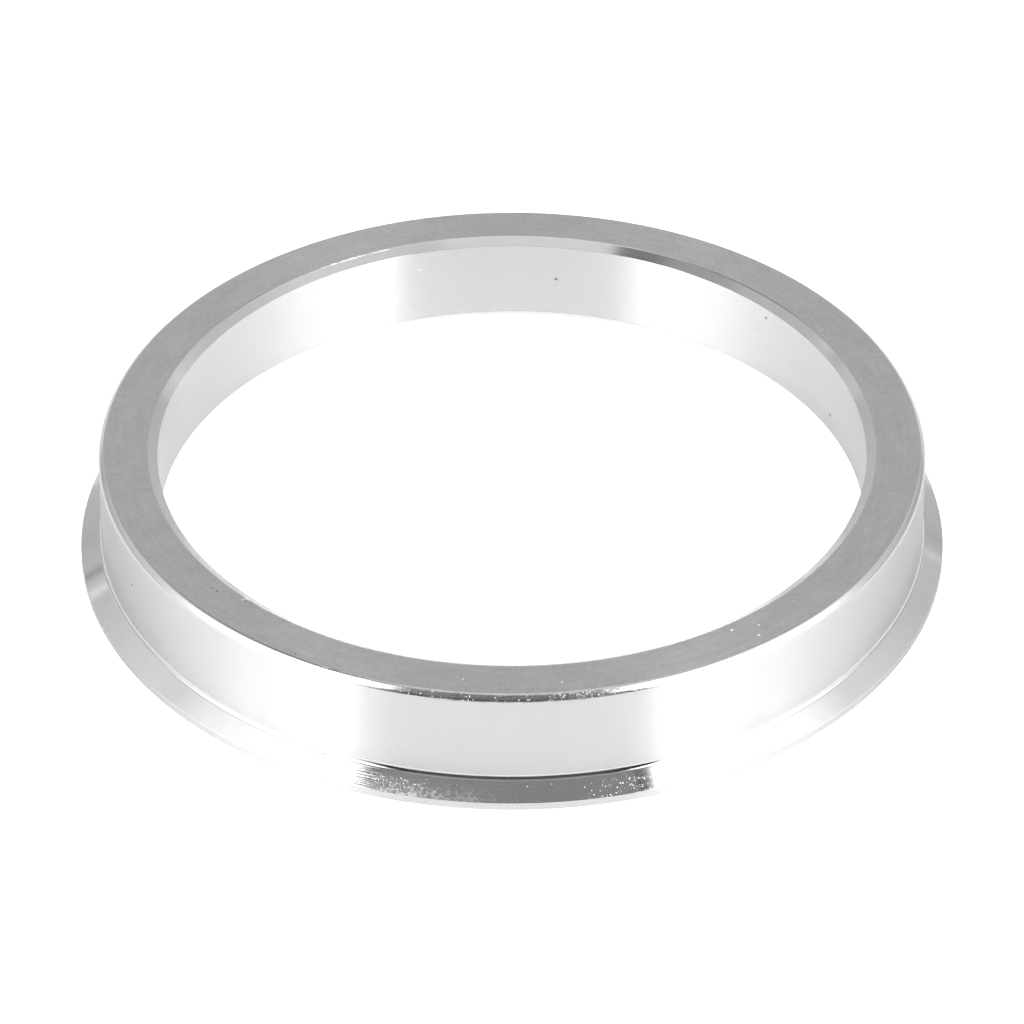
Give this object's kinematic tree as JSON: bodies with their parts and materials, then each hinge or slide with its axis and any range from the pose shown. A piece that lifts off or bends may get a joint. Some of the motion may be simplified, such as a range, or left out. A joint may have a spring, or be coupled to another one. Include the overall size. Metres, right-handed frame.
{
  "type": "hub centric ring",
  "caption": "Turned aluminium hub centric ring with a lipped foot: it fills the gap between a wheel's centre bore and the hub spigot, so the wheel runs true.",
  "frame": {"origin": "on the ring's axis, in the plane of the lip's face, which it stands on", "axes": "+Z along the axis, from the lip towards the end that goes into the wheel; X and Y are any two directions across"},
  "size_m": [0.07, 0.07, 0.0098],
  "materials": {
    "turned_aluminium": "bright-turned bore, wall and lip cone, satin faced top"
  },
  "bodies": {
    "root": {"hub_centric_ring": "turned_aluminium"}
  },
  "joints": []
}
